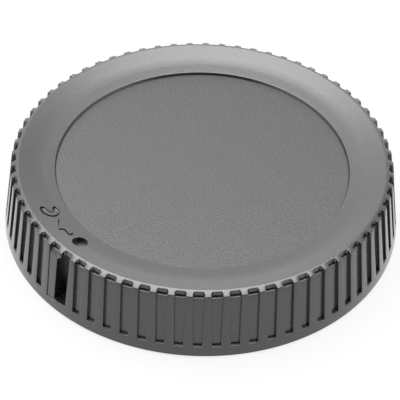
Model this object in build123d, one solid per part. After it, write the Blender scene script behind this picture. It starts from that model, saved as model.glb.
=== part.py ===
"""Rear lens cap: one moulded shell with a recessed disc, a dished ring, a
notched rim, a grooved grip wall and three bayonet lugs inside the mouth.

Millimetres, +Z up. The origin is the centre of the mouth, on the plane that
the foot rests on. The viewer stands on the -Y side.
"""
from build123d import *
import os

# Outer form
CAP_DIAMETER = 62.0
CAP_HEIGHT = 11.85
CROWN_INSET = 1.33
FOOT_BEVEL = 0.4

# Top face, from the rim inwards
RIM_WIDTH = 1.12
RIM_DROP = 0.47
RING_OUTER_WIDTH = 3.27
RING_OUTER_FALL = 0.99
RING_INNER_WIDTH = 2.36
RING_INNER_FALL = 0.31
RECESS_DEPTH = 0.45

# Grip grooves round the wall, with a deeper notch through the rim
GROOVE_COUNT = 69
PLAIN_BAND = 2.1
GROOVE_DEPTH_FOOT = 0.85
GROOVE_DEPTH_CROWN = 0.7
GROOVE_WIDTH_FOOT = 1.25
GROOVE_WIDTH_CROWN = 1.68
NOTCH_STEP = 0.12
NOTCH_HEIGHT = 0.58
NOTCH_EASE = 0.12

# Alignment slot, which takes in one groove and the rib on its left
SLOT_PLACE = -8
SLOT_SHIFT = 0.26
SLOT_WIDTH = 2.25
SLOT_WEB = 1.2

# Pad that fills the groove beyond the slot, nearly flush with the ribs
PAD_BAND = 1.8
PAD_STEP = 0.15
PAD_SLOPE = 1.0

# Round index mark on the ring, placed in groove pitches right of the front
INDEX_PLACE = -8.43
INDEX_DIAMETER = 2.4
INDEX_DEPTH = 0.9
INDEX_OFFSET = 0.45

# Hollow inside, with the bayonet lugs
SKIRT_WALL = 2.5
PLATE_THICKNESS = 1.8
CEILING_BEVEL = 0.8
MOUTH_CHAMFER = 0.4
LUG_COUNT = 3
LUG_ARC = 40.0
LUG_REACH = 2.4
LUG_THICKNESS = 1.5
LUG_LIFT = 1.2
LUG_START = 10.0
STOP_ARC = 5.0

# Cutters reach this far past the faces that they open
REACH = 1.0

# Radii, from the foot to the middle
foot_radius = CAP_DIAMETER / 2
crown_radius = foot_radius - CROWN_INSET
crest_radius = crown_radius - RIM_WIDTH
crease_radius = crest_radius - RING_OUTER_WIDTH
recess_radius = crease_radius - RING_INNER_WIDTH
bore_radius = crown_radius - SKIRT_WALL
lug_radius = bore_radius - LUG_REACH

# Heights, from the crest down
crown_height = CAP_HEIGHT - RIM_DROP
crease_height = CAP_HEIGHT - RING_OUTER_FALL
recess_edge_height = crease_height - RING_INNER_FALL
disc_height = recess_edge_height - RECESS_DEPTH
ceiling_height = disc_height - PLATE_THICKNESS
notch_floor_height = crown_height - NOTCH_HEIGHT

pitch_angle = 360 / GROOVE_COUNT


def wall_radius(height):
    """Outer radius of the leaning wall at a height above the foot's bevel."""
    share = (height - FOOT_BEVEL) / (crown_height - FOOT_BEVEL)
    return foot_radius - CROWN_INSET * share


def groove_floor(height):
    """Radius of the groove's floor, which leans less than the wall."""
    share = (height - PLAIN_BAND) / (notch_floor_height - PLAIN_BAND)
    low = wall_radius(PLAIN_BAND) - GROOVE_DEPTH_FOOT
    high = wall_radius(notch_floor_height) - GROOVE_DEPTH_CROWN
    return low + (high - low) * share


def revolved(points):
    """Solid of revolution about Z from (radius, height) points."""
    section = make_face(Polyline(points, close=True))
    return revolve(Plane.XZ * section, Axis.Z)


def around(solid, place):
    """Turn a solid made on +X to a place counted in pitches right of the front."""
    return Rot(0, 0, -90 + place * pitch_angle) * solid


def outer_body():
    """Leaning wall, rim, dished ring and recessed disc, still solid inside."""
    return revolved([
        (0, 0),
        (foot_radius - FOOT_BEVEL, 0),
        (foot_radius, FOOT_BEVEL),
        (crown_radius, crown_height),
        (crest_radius, CAP_HEIGHT),
        (crease_radius, crease_height),
        (recess_radius, recess_edge_height),
        (recess_radius, disc_height),
        (0, disc_height),
    ])


def mouth_hollow():
    """Space inside the skirt, eased at the mouth and at the ceiling."""
    return revolved([
        (0, -REACH),
        (bore_radius + MOUTH_CHAMFER + REACH, -REACH),
        (bore_radius, MOUTH_CHAMFER),
        (bore_radius, ceiling_height - CEILING_BEVEL),
        (bore_radius - CEILING_BEVEL, ceiling_height),
        (0, ceiling_height),
    ])


def radial_cut(floor, outline):
    """Cut on +X: floor is (radius, height) points, outline is (offset, height) points."""
    past = foot_radius + REACH
    low = floor[0][1]
    high = floor[-1][1]
    reach = max(abs(offset) for offset, height in outline) + REACH
    section = make_face(Polyline([*floor, (past, high), (past, low)], close=True))
    slab = extrude(Plane.XZ * section, reach, both=True)
    return slab & extrude(Plane.YZ * make_face(Polyline(outline, close=True)), past)


def groove_outline(low):
    """Groove seen from outside, from a height up to the notch, wider at the top."""
    foot = GROOVE_WIDTH_FOOT / 2
    crown = GROOVE_WIDTH_CROWN / 2
    return [(-foot, low), (foot, low), (crown, notch_floor_height), (-crown, notch_floor_height)]


def notch_cut():
    """Cut through the rim with upright walls and eased inner corners."""
    floor_radius = groove_floor(notch_floor_height) - NOTCH_STEP
    length = foot_radius + REACH - floor_radius
    plan = Pos(floor_radius + length / 2, 0) * Rectangle(length, GROOVE_WIDTH_CROWN)
    inner_corners = plan.vertices().group_by(Axis.X)[0]
    plan = chamfer(inner_corners, NOTCH_EASE)
    return extrude(Pos(0, 0, notch_floor_height) * plan, CAP_HEIGHT + REACH - notch_floor_height)


def grip_groove():
    """One groove with its ledge above the plain band, and its notch in the rim."""
    floor = [(groove_floor(height), height) for height in (PLAIN_BAND, notch_floor_height)]
    return radial_cut(floor, groove_outline(PLAIN_BAND)) + notch_cut()


def padded_groove():
    """Groove that a pad fills up to a slope below the notch."""
    slope_foot = notch_floor_height - PAD_SLOPE
    floor = [(wall_radius(height) - PAD_STEP, height) for height in (PAD_BAND, slope_foot)]
    floor.append((groove_floor(notch_floor_height), notch_floor_height))
    return radial_cut(floor, groove_outline(PAD_BAND)) + notch_cut()


def alignment_slot():
    """Deep slot from the plain band to the notch, slanted where it passes under the rib."""
    floor = bore_radius + SLOT_WEB
    side = SLOT_WIDTH / 2
    outline = [
        (-side, PLAIN_BAND),
        (side, PLAIN_BAND),
        (side, notch_floor_height),
        (0, notch_floor_height),
        (-side, notch_floor_height - PAD_SLOPE),
    ]
    return radial_cut([(floor, PLAIN_BAND), (floor, notch_floor_height)], outline)


def index_hole():
    """Blind round mark in the ring, just outside its crease."""
    slope = RING_OUTER_FALL / RING_OUTER_WIDTH
    surface = crease_height + INDEX_OFFSET * slope
    hole = Cylinder(
        INDEX_DIAMETER / 2, INDEX_DEPTH + REACH, align=(Align.CENTER, Align.CENTER, Align.MIN)
    )
    return Pos(crease_radius + INDEX_OFFSET, 0, surface - INDEX_DEPTH) * hole


def mouth_block(top, start, arc):
    """Block that stands inwards from the bore, from the lugs' lower face up to a height."""
    rooted = bore_radius + SKIRT_WALL / 2
    section = make_face(Polyline(
        [(lug_radius, LUG_LIFT), (rooted, LUG_LIFT), (rooted, top), (lug_radius, top)], close=True
    ))
    return Rot(0, 0, start) * revolve(Plane.XZ * section, Axis.Z, arc)


def bayonet_lug(start):
    """Inward lug that turns behind a lens's claws, with a stop at its far end."""
    top = LUG_LIFT + LUG_THICKNESS
    lug = mouth_block(top, start, LUG_ARC)
    return lug + mouth_block(top + LUG_THICKNESS, start + LUG_ARC - STOP_ARC, STOP_ARC)


def lens_cap():
    """The whole cap as one solid."""
    body = outer_body() - mouth_hollow()
    groove = grip_groove()
    pad_place = SLOT_PLACE - 1
    cuts = [around(groove, pad_place + number) for number in range(1, GROOVE_COUNT)]
    cuts.append(around(padded_groove(), pad_place))
    cuts.append(around(alignment_slot(), SLOT_PLACE - SLOT_SHIFT))
    cuts.append(around(index_hole(), INDEX_PLACE))
    body = body.cut(*cuts)
    lugs = [bayonet_lug(LUG_START + number * 360 / LUG_COUNT) for number in range(LUG_COUNT)]
    return body.fuse(*lugs)


os.makedirs("parts", exist_ok=True)
export_step(lens_cap(), "parts/lens_cap.step")
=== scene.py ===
"""Rear lens cap: the grooved moulding with its index mark and arrow sign, its
plastic finishes, and a plain white stage with soft overhead light.
"""
import math

import bmesh
import bpy
from bpy.props import FloatProperty, FloatVectorProperty, IntProperty, PointerProperty
from mathutils import Matrix, Vector


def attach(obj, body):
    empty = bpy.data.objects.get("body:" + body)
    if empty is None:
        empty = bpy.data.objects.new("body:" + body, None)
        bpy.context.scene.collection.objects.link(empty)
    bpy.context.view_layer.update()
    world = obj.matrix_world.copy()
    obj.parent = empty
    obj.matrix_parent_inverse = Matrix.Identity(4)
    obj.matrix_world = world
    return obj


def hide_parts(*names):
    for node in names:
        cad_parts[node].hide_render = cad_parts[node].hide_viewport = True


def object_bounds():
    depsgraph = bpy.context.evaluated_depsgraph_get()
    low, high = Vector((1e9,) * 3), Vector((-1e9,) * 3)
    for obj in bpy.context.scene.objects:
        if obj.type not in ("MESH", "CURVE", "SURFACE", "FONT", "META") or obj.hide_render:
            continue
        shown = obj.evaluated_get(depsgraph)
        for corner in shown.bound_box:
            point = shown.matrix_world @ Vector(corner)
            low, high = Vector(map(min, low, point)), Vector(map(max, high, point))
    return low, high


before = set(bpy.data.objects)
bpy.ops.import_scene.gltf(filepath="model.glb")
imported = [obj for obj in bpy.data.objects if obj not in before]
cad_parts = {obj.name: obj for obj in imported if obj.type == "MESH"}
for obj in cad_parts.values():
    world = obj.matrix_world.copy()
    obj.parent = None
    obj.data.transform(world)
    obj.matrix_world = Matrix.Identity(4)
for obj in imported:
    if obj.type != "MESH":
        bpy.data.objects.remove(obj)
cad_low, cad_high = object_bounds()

bl_info = {
    "name": "Rear Lens Cap",
    "version": (1, 0, 0),
    "blender": (4, 5, 0),
    "location": "View3D > Sidebar > Lens Cap",
    "description": "Builds a grooved rear lens cap, its plastic finishes and a white stage",
    "category": "Object",
}

MM = 0.001
NODE = "lens_cap"

# Points closer than the first length are one point; tests of a place allow the second
SAME_POINT = 0.001 * MM
SLACK = 0.01 * MM

# Columns of faces in a groove's pitch, from its middle to its side, and in a lug's stop
PITCH_COLUMNS = 6
GROOVE_HALF_COLUMNS = 2
STOP_COLUMNS = 6

# Bayonet lugs, with the first one's start as an angle to the right of the front
LUG_COUNT = 3
LUG_START = math.radians(100)
LUG_ARC = math.radians(40)

# Outer edges that bend more than the first angle are rounded, and edges that bend
# more than the second one stay sharp in the shading
ROUNDED_BEND = math.radians(24)
SHARP_BEND = math.radians(32)

# Finishes by their place in the cap's list of materials
DISC_FINISH = 0
RING_FINISH = 1
WALL_FINISH = 2

# The arrow sign as strokes of (degrees right of the front, radius in mm). The two
# groups are cut one after the other, because their strokes meet.
ARROW_SHAFT = ((-57.8, 25.29), (-53.6, 26.41))
ARROW_TAIL = (
    (-52.6, 26.70), (-52.5, 26.31), (-52.25, 25.97), (-50.6, 25.93),
    (-49.1, 25.90), (-48.85, 25.55), (-48.9, 25.22),
)
ARROW_HEAD = (
    (-64.3, 24.74), (-61.4, 24.50), (-60.1, 24.84), (-59.5, 25.70),
    (-60.4, 26.55), (-62.6, 27.08), (-64.2, 26.95),
)
ARROW_BEND = ((-64.7, 26.48), (-62.4, 26.04), (-61.5, 25.72))
ARROW_BARB = ((-61.5, 25.62), (-62.4, 25.30), (-64.3, 24.74))
ARROW_END = ((-64.2, 26.95), (-64.75, 26.50))
ARROW_SIGN = ((ARROW_TAIL, ARROW_HEAD, ARROW_BEND), (ARROW_BARB, ARROW_END))


def length(label, detail, millimetres):
    """Length property whose default is given in millimetres."""
    return FloatProperty(name=label, description=detail, default=millimetres * MM,
                         min=0.0, precision=5, unit="LENGTH")


def share(label, detail, value):
    """Property that runs from nought to one."""
    return FloatProperty(name=label, description=detail, default=value,
                         min=0.0, max=1.0, subtype="FACTOR")


def angle(label, detail, degrees):
    """Angle property whose default is given in degrees."""
    return FloatProperty(name=label, description=detail, default=math.radians(degrees),
                         subtype="ANGLE")


def level(label, detail, value):
    """Brightness property; at 1 a lamp or the sky looks white."""
    return FloatProperty(name=label, description=detail, default=value, min=0.0)


def colour(label, detail, value):
    """Linear colour property."""
    return FloatVectorProperty(name=label, description=detail, default=value,
                               size=3, min=0.0, max=1.0, subtype="COLOR")


class CapSizes(bpy.types.PropertyGroup):
    """Sizes of the cap's moulding; its outer size comes from the frame."""

    diameter: FloatProperty(name="Diameter", description="Across the foot",
                            default=cad_high.x - cad_low.x, precision=5, unit="LENGTH")
    height: FloatProperty(name="Height", description="From the foot to the crest of the rim",
                          default=cad_high.z - cad_low.z, precision=5, unit="LENGTH")
    crown_inset: length("Crown inset", "How far the wall leans in from foot to crown", 1.33)
    foot_bevel: length("Foot bevel", "Slant between the foot and the wall", 0.4)
    rim_width: length("Rim width", "Sloped rim between crown and crest", 1.12)
    rim_drop: length("Rim drop", "Fall of the rim from crest to crown", 0.47)
    ring_outer_width: length("Outer ring width", "Steeper zone of the dished ring", 3.27)
    ring_outer_fall: length("Outer ring fall", "Fall of the steeper zone", 0.99)
    ring_inner_width: length("Inner ring width", "Flatter zone of the dished ring", 2.36)
    ring_inner_fall: length("Inner ring fall", "Fall of the flatter zone", 0.31)
    recess_depth: length("Recess depth", "Step from the ring down to the disc", 0.45)
    skirt_wall: length("Skirt wall", "Wall thickness at the crown", 2.5)
    plate: length("Plate thickness", "Thickness of the disc", 1.8)
    ceiling_bevel: length("Ceiling bevel", "Slant between bore and ceiling", 0.8)
    mouth_chamfer: length("Mouth chamfer", "Slant at the bore's lower edge", 0.4)
    edge_round: length("Edge rounding", "Rounding of the moulding's outer edges", 0.09)
    crest_round: length("Crest rounding", "Rounding between the rim and the ring", 0.16)
    crease_round: length("Crease rounding", "Soft bend between the ring's two zones", 0.9)
    recess_round: length("Recess rounding", "Rounding of the ring's edge above the disc", 0.1)
    recess_draft: length("Recess draft", "How far the recess's side slants in to the disc", 0.2)


class GripSizes(bpy.types.PropertyGroup):
    """Sizes of the grip grooves, the pad, the slot and the bayonet lugs."""

    count: IntProperty(name="Grooves", description="Grooves round the wall", default=69, min=12)
    band: length("Plain band", "Height of the wall's plain foot", 2.1)
    depth_foot: length("Depth at foot", "Groove depth above the plain band", 0.5)
    depth_crown: length("Depth at crown", "Groove depth under the notch", 0.45)
    width_foot: length("Width at foot", "Groove width above the plain band", 1.25)
    width_crown: length("Width at crown", "Groove and notch width at the rim", 1.68)
    notch_step: length("Notch step", "Ledge at the bottom of a notch", 0.37)
    notch_height: length("Notch height", "From the notch's floor up to the crown", 0.58)
    notch_ease: length("Notch ease", "Width of a notch's slanted inner corners", 0.2)
    pad_band: length("Pad's plain band", "Height at which the padded groove starts", 1.8)
    pad_step: length("Pad step", "How far the pad lies behind the ribs", 0.15)
    pad_slope: length("Pad slope", "Height of the slope above the pad", 1.0)
    pad_reach: length("Pad reach", "From the pad's middle to its end at the slot", 1.06)
    slot_place: IntProperty(name="Slot place", description="Pitches right of the front", default=-8)
    slot_shift: share("Slot shift", "Shift of the slot to the left, in pitches", 0.26)
    slot_width: length("Slot width", "Width of the alignment slot", 2.25)
    slot_web: length("Slot web", "Wall left between slot and bore", 1.2)
    lug_reach: length("Lug reach", "How far a bayonet lug stands in from the bore", 2.4)
    lug_lift: length("Lug lift", "Height of the lugs' lower face", 1.2)
    lug_thickness: length("Lug thickness", "Thickness of a bayonet lug", 1.5)


class MarkSizes(bpy.types.PropertyGroup):
    """Sizes of the index mark and of the arrow sign on the ring."""

    index_place: FloatProperty(name="Index place", description="Pitches right of the front",
                               default=-8.43)
    index_diameter: length("Index diameter", "Across the round index mark", 2.4)
    index_depth: length("Index depth", "Depth of the index mark", 0.9)
    index_offset: length("Index offset", "How far its centre lies outside the crease", 0.45)
    stroke: length("Stroke width", "Thickness of the arrow sign's engraving tool", 0.46)
    faint_stroke: length("Faint stroke width", "Thickness of the tool for the faint line", 0.23)
    stroke_sink: length("Stroke sink", "How far the tool's middle lies under the ring", 0.12)


class FinishValues(bpy.types.PropertyGroup):
    """Colour and gloss of the moulded plastic."""

    plastic: colour("Plastic", "Colour of the moulded plastic", (0.013, 0.013, 0.0132))
    disc_roughness: share("Disc roughness", "Roughness of the grained disc", 0.33)
    ring_roughness: share("Ring roughness", "Roughness of the ring and the rim", 0.31)
    wall_roughness: share("Wall roughness", "Roughness of the wall and the inside", 0.26)
    grain_size: length("Grain size", "Size of the disc's grain", 0.24)
    grain_height: length("Grain height", "Height of the disc's grain", 0.08)


class StageValues(bpy.types.PropertyGroup):
    """Camera, lamps and background."""

    lens: FloatProperty(name="Lens", description="Focal length in millimetres", default=177.6)
    distance: length("Camera distance", "From the cap's origin to the camera", 313.9)
    elevation: angle("Elevation", "Camera's height above the floor", 43.047)
    orbit: angle("Orbit", "Camera's turn to the right of the front", -0.118)
    roll: angle("Roll", "Camera's roll to the left", 1.694)
    aim: FloatVectorProperty(name="Aim", description="Point that the camera looks at",
                             default=(-0.225 * MM, 0.0, 3.16 * MM), subtype="TRANSLATION")
    soft_box: level("Soft box", "Level of the overhead lamp", 4.0)
    left_panel: level("Left panel", "Level of the lamp behind on the left", 0.45)
    low_panel: level("Low panel", "Level of the low lamp behind", 0.95)
    sky: level("Sky", "Level of the surrounding white light", 0.15)
    floor: colour("Floor", "Colour of the floor", (0.86, 0.86, 0.86))
    floor_glow: share("Floor glow", "Share of the floor that the camera sees as plain white", 0.84)
    flag: colour("Flag", "Colour of the dark card behind the camera", (0.02, 0.02, 0.02))


class CapSettings(bpy.types.PropertyGroup):
    """Everything that a user may change."""

    cap: PointerProperty(type=CapSizes)
    grip: PointerProperty(type=GripSizes)
    marks: PointerProperty(type=MarkSizes)
    finish: PointerProperty(type=FinishValues)
    stage: PointerProperty(type=StageValues)


class CapLayout:
    """Radii and heights that follow from the settings."""

    def __init__(self, settings):
        cap = settings.cap
        grip = settings.grip
        self.foot = cap.diameter / 2
        self.foot_bevel = cap.foot_bevel
        self.crown = self.foot - cap.crown_inset
        self.crest = self.crown - cap.rim_width
        self.crease = self.crest - cap.ring_outer_width
        self.recess = self.crease - cap.ring_inner_width
        self.bore = self.crown - cap.skirt_wall
        self.crest_height = cap.height
        self.crown_height = cap.height - cap.rim_drop
        self.crease_height = cap.height - cap.ring_outer_fall
        self.recess_height = self.crease_height - cap.ring_inner_fall
        self.disc_height = self.recess_height - cap.recess_depth
        self.ceiling_height = self.disc_height - cap.plate
        self.notch_floor = self.crown_height - grip.notch_height
        self.pitch = math.tau / grip.count
        self.band = grip.band
        self.width_foot = grip.width_foot
        self.width_crown = grip.width_crown
        self.floor_low = self.wall(grip.band) - grip.depth_foot
        self.floor_high = self.wall(self.notch_floor) - grip.depth_crown
        self.notch_back = self.floor_high - grip.notch_step
        self.ring_slope = cap.ring_outer_fall / cap.ring_outer_width
        self.inner_slope = cap.ring_inner_fall / cap.ring_inner_width

    def wall(self, height):
        """Outer radius of the leaning wall."""
        lean = (self.foot - self.crown) / (self.crown_height - self.foot_bevel)
        return self.foot - lean * (height - self.foot_bevel)

    def climb(self, height):
        """Share of the way from the plain band up to a notch's floor."""
        return (height - self.band) / (self.notch_floor - self.band)

    def groove_floor(self, height):
        """Radius of a groove's floor, which leans less than the wall."""
        return self.floor_low + (self.floor_high - self.floor_low) * self.climb(height)

    def groove_half_width(self, height):
        """Half of a groove's width, which grows towards the notch."""
        part = min(max(self.climb(height), 0), 1)
        return (self.width_foot + (self.width_crown - self.width_foot) * part) / 2

    def rim(self, across):
        """Height of the rim's slope at a radius."""
        fall = (self.crest_height - self.crown_height) / (self.crown - self.crest)
        return self.crown_height + (self.crown - across) * fall

    def ring(self, across):
        """Height of the dished ring at a radius."""
        slope = self.ring_slope if across > self.crease else self.inner_slope
        return self.crease_height + (across - self.crease) * slope


def azimuth(point):
    """Angle of a point round the axis, to the right of the front."""
    return math.atan2(point.x, -point.y)


def radius(point):
    """Distance of a point from the axis."""
    return math.hypot(point.x, point.y)


def polar(turn, across, height):
    """Point at an angle to the right of the front."""
    return Vector((across * math.sin(turn), -across * math.cos(turn), height))


def near(value, target):
    """True where two lengths agree to within a micrometre."""
    return abs(value - target) < SAME_POINT


def points_of(geometry):
    """Vertices among the parts that a bmesh operator gives back."""
    return [part for part in geometry if isinstance(part, bmesh.types.BMVert)]


def drawn_points(shape, faces):
    """Extrude faces, delete the ones they start from, and return the new points."""
    geometry = bmesh.ops.extrude_face_region(shape, geom=faces)["geom"]
    bmesh.ops.delete(shape, geom=faces, context="FACES")
    return points_of(geometry)


def close_up(shape):
    """Merge doubled points and turn the faces outwards."""
    bmesh.ops.remove_doubles(shape, verts=shape.verts, dist=SAME_POINT)
    bmesh.ops.recalc_face_normals(shape, faces=shape.faces)


def spun_shell(layout, settings):
    """Shell of the cap spun from its section, with no grooves or lugs yet."""
    cap = settings.cap
    grip = settings.grip
    wall_rows = (layout.notch_floor - grip.pad_slope, grip.band, grip.pad_band, cap.foot_bevel)
    bore_rows = [grip.lug_lift + step * grip.lug_thickness for step in (0, 1, 2)]
    section = [
        (0, layout.disc_height),
        (layout.recess - cap.recess_draft, layout.disc_height),
        (layout.recess, layout.recess_height),
        (layout.crease, layout.crease_height),
        (layout.crest, layout.crest_height),
        (layout.notch_back, layout.rim(layout.notch_back)),
        (layout.crown, layout.crown_height),
        *[(layout.wall(height), height) for height in wall_rows],
        (layout.foot - cap.foot_bevel, 0),
        (layout.bore + cap.mouth_chamfer, 0),
        (layout.bore, cap.mouth_chamfer),
        *[(layout.bore, height) for height in bore_rows],
        (layout.bore, layout.ceiling_height - cap.ceiling_bevel),
        (layout.bore - cap.ceiling_bevel, layout.ceiling_height),
        (0, layout.ceiling_height),
    ]
    shell = bmesh.new()
    points = [shell.verts.new(polar(0, across, height)) for across, height in section]
    edges = [shell.edges.new(pair) for pair in zip(points, points[1:])]
    bmesh.ops.spin(shell, geom=points + edges, cent=(0, 0, 0), axis=(0, 0, 1), dvec=(0, 0, 0),
                   angle=math.tau, steps=grip.count * PITCH_COLUMNS,
                   use_merge=True, use_normal_flip=False, use_duplicate=False)
    close_up(shell)
    return shell


def place_in_pitch(point, layout):
    """Number of the nearest groove, and the columns by which a point lies right of its middle."""
    turns = azimuth(point) / layout.pitch
    number = round(turns)
    return number, (turns - number) * PITCH_COLUMNS


def on_column(side, column):
    """True for a point that stands on a column, on either side of a groove's middle."""
    return abs(abs(side) - column) < 0.1


def groove_faces(shell, layout, grip, pad):
    """Faces of the wall and the rim that lie in a groove."""
    faces = []
    for face in shell.faces:
        middle = face.calc_center_median()
        number, side = place_in_pitch(middle, layout)
        low = grip.pad_band if number == pad else grip.band
        on_wall = radius(middle) > layout.notch_back and middle.z > low
        if on_wall and abs(side) < GROOVE_HALF_COLUMNS:
            faces.append(face)
    return faces


def set_groove_sides(shell, layout, grip, pad):
    """Move the wall's points to the grooves' sides and to the notches' slanted corners."""
    corner = layout.notch_back + grip.notch_ease
    for vert in shell.verts:
        number, side = place_in_pitch(vert.co, layout)
        across = radius(vert.co)
        height = vert.co.z
        on_wall = across > layout.notch_back - SLACK and height > grip.pad_band - SLACK
        at_back = near(across, layout.notch_back)
        if on_wall and on_column(side, GROOVE_HALF_COLUMNS):
            half = layout.groove_half_width(height)
            if number == pad and side > 0 and height < layout.notch_floor:
                half = grip.pad_reach
            if at_back:
                across = corner
                height = layout.rim(corner)
        elif at_back and on_column(side, GROOVE_HALF_COLUMNS - 1):
            half = grip.width_crown / 2 - grip.notch_ease
        else:
            continue
        turn = number * layout.pitch + math.copysign(half / across, side)
        vert.co = polar(turn, across, height)


def cut_grooves(shell, layout, grip):
    """Draw the groove faces into the wall and the rim in one extrusion."""
    pad = grip.slot_place - 1
    faces = groove_faces(shell, layout, grip, pad)
    set_groove_sides(shell, layout, grip, pad)
    for vert in drawn_points(shell, faces):
        number = place_in_pitch(vert.co, layout)[0]
        across = radius(vert.co)
        height = vert.co.z
        offset = across * math.sin(azimuth(vert.co) - number * layout.pitch)
        if height > layout.crown_height + SLACK:
            height = layout.notch_floor
        elif near(across, layout.crown):
            height = layout.notch_floor
            across = layout.floor_high
        elif number == pad:
            across -= grip.pad_step
        else:
            across = layout.groove_floor(height)
        vert.co = polar(number * layout.pitch + math.asin(offset / across), across, height)
    close_up(shell)


def draw_lugs(shell, layout, grip):
    """Draw the bayonet lugs, each with a stop at its far end, in from the bore."""
    column = layout.pitch / PITCH_COLUMNS
    bore_face = layout.bore * math.cos(column / 2)
    low = grip.lug_lift
    lugs = []
    for face in shell.faces:
        middle = face.calc_center_median()
        along = (azimuth(middle) - LUG_START) % (math.tau / LUG_COUNT)
        if not near(radius(middle), bore_face) or along > LUG_ARC:
            continue
        in_stop = along > LUG_ARC - STOP_COLUMNS * column
        thickness = 2 * grip.lug_thickness if in_stop else grip.lug_thickness
        if low < middle.z < low + thickness:
            lugs.append(face)
    reach = (layout.bore - grip.lug_reach) / layout.bore
    bmesh.ops.scale(shell, vec=(reach, reach, 1), verts=drawn_points(shell, lugs))
    bmesh.ops.recalc_face_normals(shell, faces=shell.faces)


def bevel(shell, edges, offset, segments):
    """Round edges with a given number of strips."""
    bmesh.ops.bevel(shell, geom=edges, offset=offset, offset_type="OFFSET", affect="EDGES",
                    segments=segments, profile=0.5, material=-1, clamp_overlap=False)


def circle_edges(shell, across, height):
    """Edges of the circle at a radius and a height."""
    circle = []
    for edge in shell.edges:
        spots = [vert.co for vert in edge.verts]
        if all(near(radius(spot), across) and near(spot.z, height) for spot in spots):
            circle.append(edge)
    return circle


def round_edges(shell, layout, cap):
    """Round the ring's crest, crease and inner edge, and then every sharp outer edge."""
    bevel(shell, circle_edges(shell, layout.crest, layout.crest_height), cap.crest_round, 3)
    bevel(shell, circle_edges(shell, layout.crease, layout.crease_height), cap.crease_round, 6)
    bevel(shell, circle_edges(shell, layout.recess, layout.recess_height), cap.recess_round, 3)
    sharp = [edge for edge in shell.edges if edge.calc_face_angle_signed(0) > ROUNDED_BEND]
    bevel(shell, sharp, cap.edge_round, 2)


def finish_faces(shell, layout):
    """Give each face the disc's, the ring's or the wall's finish."""
    ring_low = layout.disc_height - 0.05 * MM
    disc_edge = layout.recess - 0.3 * MM
    for face in shell.faces:
        middle = face.calc_center_median()
        across = radius(middle)
        faces_up = face.normal.z > 0.3
        face.material_index = WALL_FINISH
        if middle.z > layout.crown_height and faces_up:
            face.material_index = RING_FINISH
        if middle.z > ring_low and across < layout.crest:
            face.material_index = RING_FINISH
        if near(middle.z, layout.disc_height) and across < disc_edge:
            face.material_index = DISC_FINISH
        face.smooth = True


def new_object(name, data):
    """Link a mesh, curve, lamp or camera to the scene as a new object."""
    piece = bpy.data.objects.new(name, data)
    bpy.context.scene.collection.objects.link(piece)
    return piece


def mesh_from(shape, name):
    """Turn a finished bmesh into a mesh."""
    bmesh.ops.recalc_face_normals(shape, faces=shape.faces)
    mesh = bpy.data.meshes.new(name)
    shape.to_mesh(mesh)
    shape.free()
    return mesh


def evaluated_mesh(piece):
    """Mesh of an object with its modifiers or its curve settings applied."""
    graph = bpy.context.evaluated_depsgraph_get()
    return bpy.data.meshes.new_from_object(piece.evaluated_get(graph))


def slot_cutter(cutter, layout, grip):
    """Prism that opens the alignment slot, slanted where it passes under the rib."""
    side = grip.slot_width / 2
    floor = layout.bore + grip.slot_web
    outline = [
        (-side, grip.band),
        (side, grip.band),
        (side, layout.notch_floor),
        (0, layout.notch_floor),
        (-side, layout.notch_floor - grip.pad_slope),
    ]
    points = [cutter.verts.new((across, -floor, height)) for across, height in outline]
    base = cutter.faces.new(points)
    outer_points = points_of(bmesh.ops.extrude_face_region(cutter, geom=[base])["geom"])
    bmesh.ops.translate(cutter, vec=(0, floor - layout.foot - MM, 0), verts=outer_points)
    turn = Matrix.Rotation((grip.slot_place - grip.slot_shift) * layout.pitch, 3, "Z")
    bmesh.ops.rotate(cutter, cent=(0, 0, 0), matrix=turn, verts=points + outer_points)


def index_cutter(cutter, layout, marks):
    """Upright round plug that opens the index mark."""
    centre = layout.crease + marks.index_offset
    middle = polar(marks.index_place * layout.pitch, centre, layout.ring(centre))
    bmesh.ops.create_cone(cutter, cap_ends=True, segments=64, radius1=marks.index_diameter / 2,
                          radius2=marks.index_diameter / 2, depth=2 * marks.index_depth,
                          matrix=Matrix.Translation(middle))


def add_stroke(cutter, layout, marks, stroke, width):
    """Add a round stroke along points just under the ring."""
    curve = bpy.data.curves.new("stroke", "CURVE")
    curve.dimensions = "3D"
    curve.bevel_depth = width / 2
    curve.bevel_resolution = 2
    curve.use_fill_caps = True
    line = curve.splines.new("BEZIER")
    line.bezier_points.add(len(stroke) - 1)
    line.resolution_u = 5
    sink = marks.stroke_sink * width / marks.stroke
    for spot, (degrees, across) in zip(line.bezier_points, stroke):
        spot.co = polar(math.radians(degrees), across * MM, layout.ring(across * MM) - sink)
        spot.handle_left_type = "AUTO"
        spot.handle_right_type = "AUTO"
    holder = new_object("stroke", curve)
    mesh = evaluated_mesh(holder)
    bpy.data.objects.remove(holder)
    cutter.from_mesh(mesh)
    bpy.data.meshes.remove(mesh)


def cut_away(piece, shape):
    """Take a closed shape out of a piece for good."""
    bmesh.ops.remove_doubles(shape, verts=shape.verts, dist=SAME_POINT)
    for face in shape.faces:
        face.material_index = WALL_FINISH
        face.smooth = True
    cutter = new_object("cutter", mesh_from(shape, "cutter"))
    boolean = piece.modifiers.new("Cut", "BOOLEAN")
    boolean.operation = "DIFFERENCE"
    boolean.solver = "EXACT"
    boolean.object = cutter
    bpy.context.view_layer.update()
    result = evaluated_mesh(piece)
    piece.modifiers.clear()
    old = piece.data
    piece.data = result
    bpy.data.meshes.remove(old)
    bpy.data.objects.remove(cutter)


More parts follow.
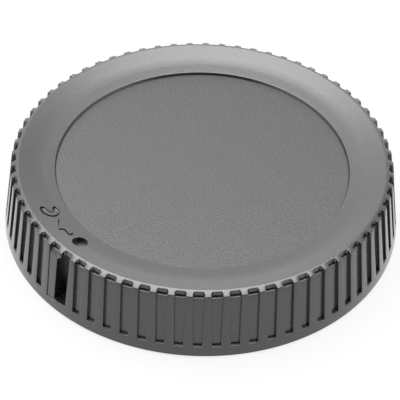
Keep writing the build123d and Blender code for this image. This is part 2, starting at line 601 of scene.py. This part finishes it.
class LENSCAP_OT_moulding(bpy.types.Operator):
    """Build the cap's moulding with its grooves, slot, index mark, sign and lugs"""

    bl_idname = "lens_cap.moulding"
    bl_label = "Moulding"

    def execute(self, context):
        settings = context.scene.lens_cap
        layout = CapLayout(settings)
        shell = spun_shell(layout, settings)
        cut_grooves(shell, layout, settings.grip)
        draw_lugs(shell, layout, settings.grip)
        piece = new_object("cap_moulding", mesh_from(shell, "cap_moulding"))
        self.cut_slot(piece, layout, settings.grip)
        shell = bmesh.new()
        shell.from_mesh(piece.data)
        round_edges(shell, layout, settings.cap)
        finish_faces(shell, layout)
        piece.data = mesh_from(shell, "cap_moulding")
        for material in plastic_finishes(settings.finish):
            piece.data.materials.append(material)
        self.cut_marks(piece, layout, settings.marks)
        piece.data.set_sharp_from_angle(angle=SHARP_BEND)
        normals = piece.modifiers.new("Even normals", "WEIGHTED_NORMAL")
        normals.keep_sharp = True
        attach(piece, "root")
        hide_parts(NODE)
        return {"FINISHED"}

    def cut_slot(self, piece, layout, grip):
        """Open the alignment slot while the shell's edges are still plain."""
        cutter = bmesh.new()
        slot_cutter(cutter, layout, grip)
        cut_away(piece, cutter)

    def cut_marks(self, piece, layout, marks):
        """Cut the index mark and the arrow sign into the ring."""
        for number, strokes in enumerate(ARROW_SIGN):
            cutter = bmesh.new()
            for stroke in strokes:
                add_stroke(cutter, layout, marks, stroke, marks.stroke)
            if number == 0:
                index_cutter(cutter, layout, marks)
                add_stroke(cutter, layout, marks, ARROW_SHAFT, marks.faint_stroke)
            cut_away(piece, cutter)


def grain_group():
    """Node group that gives a moulded grain's height and its mask on Object coordinates."""
    group = bpy.data.node_groups.new("Moulded grain", "ShaderNodeTree")
    sockets = group.interface
    sockets.new_socket("Grain per metre", in_out="INPUT", socket_type="NodeSocketFloat")
    sockets.new_socket("Height", in_out="OUTPUT", socket_type="NodeSocketFloat")
    sockets.new_socket("Tone", in_out="OUTPUT", socket_type="NodeSocketFloat")
    nodes = group.nodes
    links = group.links
    entry = nodes.new("NodeGroupInput")
    leave = nodes.new("NodeGroupOutput")
    place = nodes.new("ShaderNodeTexCoord")
    # Turned off the axes, so that the noise's own grid doesn't show on the flat disc
    turn = nodes.new("ShaderNodeMapping")
    turn.inputs["Rotation"].default_value = (0.6, 0.5, 0.7)
    noise = nodes.new("ShaderNodeTexNoise")
    noise.inputs["Detail"].default_value = 3.0
    noise.inputs["Roughness"].default_value = 0.55
    spread = nodes.new("ShaderNodeMapRange")
    spread.inputs["From Min"].default_value = 0.3
    spread.inputs["From Max"].default_value = 0.7
    links.new(place.outputs["Object"], turn.inputs["Vector"])
    links.new(turn.outputs["Vector"], noise.inputs["Vector"])
    links.new(entry.outputs["Grain per metre"], noise.inputs["Scale"])
    links.new(noise.outputs["Fac"], spread.inputs["Value"])
    links.new(noise.outputs["Fac"], leave.inputs["Height"])
    links.new(spread.outputs["Result"], leave.inputs["Tone"])
    return group


def plastic(name, group, values, ior, roughness, grain_share, mottle, skin):
    """Black moulded plastic with a share of the grain's height, mottling and a glossy skin."""
    gloss_spread = 0.04
    skin_ior = 1.4
    skin_dimming = 0.35
    material = bpy.data.materials.new(name)
    material.use_nodes = True
    nodes = material.node_tree.nodes
    links = material.node_tree.links
    shader = nodes["Principled BSDF"]
    shader.inputs["IOR"].default_value = ior
    shader.inputs["Specular IOR Level"].default_value = 1.0 - skin_dimming * skin
    shader.inputs["Coat Weight"].default_value = skin
    shader.inputs["Coat IOR"].default_value = skin_ior
    shader.inputs["Coat Roughness"].default_value = roughness
    grain = nodes.new("ShaderNodeGroup")
    grain.node_tree = group
    grain.inputs["Grain per metre"].default_value = 1 / values.grain_size
    tone = nodes.new("ShaderNodeMix")
    tone.data_type = "RGBA"
    tone.inputs["A"].default_value = (*[part * (1 - mottle) for part in values.plastic], 1)
    tone.inputs["B"].default_value = (*[part * (1 + mottle) for part in values.plastic], 1)
    links.new(grain.outputs["Tone"], tone.inputs["Factor"])
    links.new(tone.outputs["Result"], shader.inputs["Base Color"])
    gloss = nodes.new("ShaderNodeMapRange")
    gloss.inputs["To Min"].default_value = roughness - gloss_spread
    gloss.inputs["To Max"].default_value = roughness + gloss_spread
    links.new(grain.outputs["Tone"], gloss.inputs["Value"])
    links.new(gloss.outputs["Result"], shader.inputs["Roughness"])
    bump = nodes.new("ShaderNodeBump")
    bump.inputs["Strength"].default_value = 1.0
    bump.inputs["Distance"].default_value = values.grain_height * grain_share
    links.new(grain.outputs["Height"], bump.inputs["Height"])
    links.new(bump.outputs["Normal"], shader.inputs["Normal"])
    return material


def plastic_finishes(values):
    """The cap's materials in the order of the finish numbers."""
    group = grain_group()
    return [
        plastic("grained_plastic", group, values, ior=1.53, roughness=values.disc_roughness,
                grain_share=1.0, mottle=0.25, skin=0.0),
        plastic("satin_plastic", group, values, ior=1.6, roughness=values.ring_roughness,
                grain_share=0.4, mottle=0.12, skin=0.0),
        plastic("smooth_plastic", group, values, ior=1.5, roughness=values.wall_roughness,
                grain_share=0.1, mottle=0.10, skin=1.0),
    ]


def seen_rays(nodes, links):
    """Mask of the rays that see the background: the camera's own, and those in gloss and glass."""
    path = nodes.new("ShaderNodeLightPath")
    mask = path.outputs["Is Camera Ray"]
    for ray in ("Is Glossy Ray", "Is Transmission Ray"):
        either = nodes.new("ShaderNodeMath")
        either.operation = "MAXIMUM"
        links.new(mask, either.inputs[0])
        links.new(path.outputs[ray], either.inputs[1])
        mask = either.outputs[0]
    return mask


class LENSCAP_OT_stage(bpy.types.Operator):
    """Build the white floor, the dark card, the soft light and the camera"""

    bl_idname = "lens_cap.stage"
    bl_label = "Stage"

    def execute(self, context):
        values = context.scene.lens_cap.stage
        self.world(context.scene, values)
        self.floor(values)
        self.flag(values)
        self.lamp("soft_box", values.soft_box, wide=0.76, tall=0.56,
                  place=(-0.07, 0.065, 0.5), degrees=(0, 0, -25))
        self.lamp("left_panel", values.left_panel, wide=1.3, tall=0.9,
                  place=(-0.6, 0.8, 0.65), degrees=(-90, 0, 0))
        self.lamp("low_panel", values.low_panel, wide=1.4, tall=0.3,
                  place=(0, 0.8, 0.15), degrees=(-90, 0, 0))
        self.camera(context.scene, values)
        context.scene.view_settings.view_transform = "Standard"
        return {"FINISHED"}

    def world(self, scene, values):
        """White surroundings that light the cap at the sky's level."""
        world = bpy.data.worlds.new("white_room")
        world.use_nodes = True
        nodes = world.node_tree.nodes
        links = world.node_tree.links
        background = nodes["Background"]
        background.inputs["Color"].default_value = (1, 1, 1, 1)
        strength = nodes.new("ShaderNodeMapRange")
        strength.inputs["To Min"].default_value = values.sky
        strength.inputs["To Max"].default_value = 1.0
        links.new(seen_rays(nodes, links), strength.inputs["Value"])
        links.new(strength.outputs["Result"], background.inputs["Strength"])
        scene.world = world

    def floor(self, values):
        """White floor, of which a share glows to the camera and the rest takes the shadow."""
        sheet = bmesh.new()
        bmesh.ops.create_circle(sheet, cap_ends=True, segments=96, radius=3.0)
        mesh = mesh_from(sheet, "floor")
        material = bpy.data.materials.new("white_floor")
        material.use_nodes = True
        nodes = material.node_tree.nodes
        links = material.node_tree.links
        nodes.remove(nodes["Principled BSDF"])
        paper = nodes.new("ShaderNodeBsdfDiffuse")
        paper.inputs["Color"].default_value = (*values.floor, 1)
        glow = nodes.new("ShaderNodeEmission")
        part = nodes.new("ShaderNodeMath")
        part.operation = "MULTIPLY"
        part.inputs[1].default_value = values.floor_glow
        blend = nodes.new("ShaderNodeMixShader")
        links.new(seen_rays(nodes, links), part.inputs[0])
        links.new(part.outputs[0], blend.inputs["Fac"])
        links.new(paper.outputs[0], blend.inputs[1])
        links.new(glow.outputs[0], blend.inputs[2])
        links.new(blend.outputs[0], nodes["Material Output"].inputs["Surface"])
        mesh.materials.append(material)
        new_object("floor", mesh)

    def flag(self, values):
        """Dark studio card behind the camera, which gives the edges towards it their dark lines."""
        sheet = bmesh.new()
        bmesh.ops.create_grid(sheet, x_segments=1, y_segments=1, size=0.5)
        card = new_object("flag", mesh_from(sheet, "flag"))
        card.location = (0, -0.5, 0.56)
        card.rotation_euler = (math.radians(90), 0, 0)
        card.visible_camera = False
        felt = bpy.data.materials.new("dark_felt")
        felt.use_nodes = True
        shader = felt.node_tree.nodes["Principled BSDF"]
        shader.inputs["Base Color"].default_value = (*values.flag, 1)
        shader.inputs["Roughness"].default_value = 1.0
        shader.inputs["Specular IOR Level"].default_value = 0.0
        card.data.materials.append(felt)

    def lamp(self, name, brightness, wide, tall, place, degrees):
        """Oval area lamp, as bright as a white surface at a level of 1."""
        light = bpy.data.lights.new(name, "AREA")
        light.shape = "ELLIPSE"
        light.size = wide
        light.size_y = tall
        light.energy = brightness * math.pi * math.pi / 4 * wide * tall
        lamp = new_object(name, light)
        lamp.location = place
        lamp.rotation_euler = [math.radians(turn) for turn in degrees]

    def camera(self, scene, values):
        """Camera at the photograph's place and framing."""
        camera = bpy.data.cameras.new("camera")
        camera.lens = values.lens
        camera.sensor_fit = "HORIZONTAL"
        camera.sensor_width = 36
        camera.clip_start = 0.01
        viewer = new_object("camera", camera)
        turn = Matrix.Rotation(values.orbit, 3, "Z")
        place = turn @ Vector((0, -math.cos(values.elevation), math.sin(values.elevation)))
        viewer.location = place * values.distance
        line = turn @ Vector(values.aim) - viewer.location
        aimed = line.to_track_quat("-Z", "Y").to_matrix()
        viewer.rotation_euler = (aimed @ Matrix.Rotation(values.roll, 3, "Z")).to_euler()
        scene.camera = viewer


class LENSCAP_PT_panel(bpy.types.Panel):
    """Sizes, finishes and steps of the lens cap"""

    bl_idname = "LENSCAP_PT_panel"
    bl_label = "Rear Lens Cap"
    bl_space_type = "VIEW_3D"
    bl_region_type = "UI"
    bl_category = "Lens Cap"

    def draw(self, context):
        settings = context.scene.lens_cap
        for group in (settings.cap, settings.grip, settings.marks, settings.finish, settings.stage):
            box = self.layout.box()
            for name in group.__annotations__:
                box.prop(group, name)
        self.layout.operator(LENSCAP_OT_moulding.bl_idname)
        self.layout.operator(LENSCAP_OT_stage.bl_idname)


CLASSES = (
    CapSizes,
    GripSizes,
    MarkSizes,
    FinishValues,
    StageValues,
    CapSettings,
    LENSCAP_OT_moulding,
    LENSCAP_OT_stage,
    LENSCAP_PT_panel,
)


def register():
    for each in CLASSES:
        bpy.utils.register_class(each)
    bpy.types.Scene.lens_cap = PointerProperty(type=CapSettings)


def unregister():
    del bpy.types.Scene.lens_cap
    for each in reversed(CLASSES):
        bpy.utils.unregister_class(each)


def main():
    """Build the cap and the stage."""
    register()
    bpy.ops.lens_cap.moulding()
    bpy.ops.lens_cap.stage()


if __name__ == "__main__":
    main()
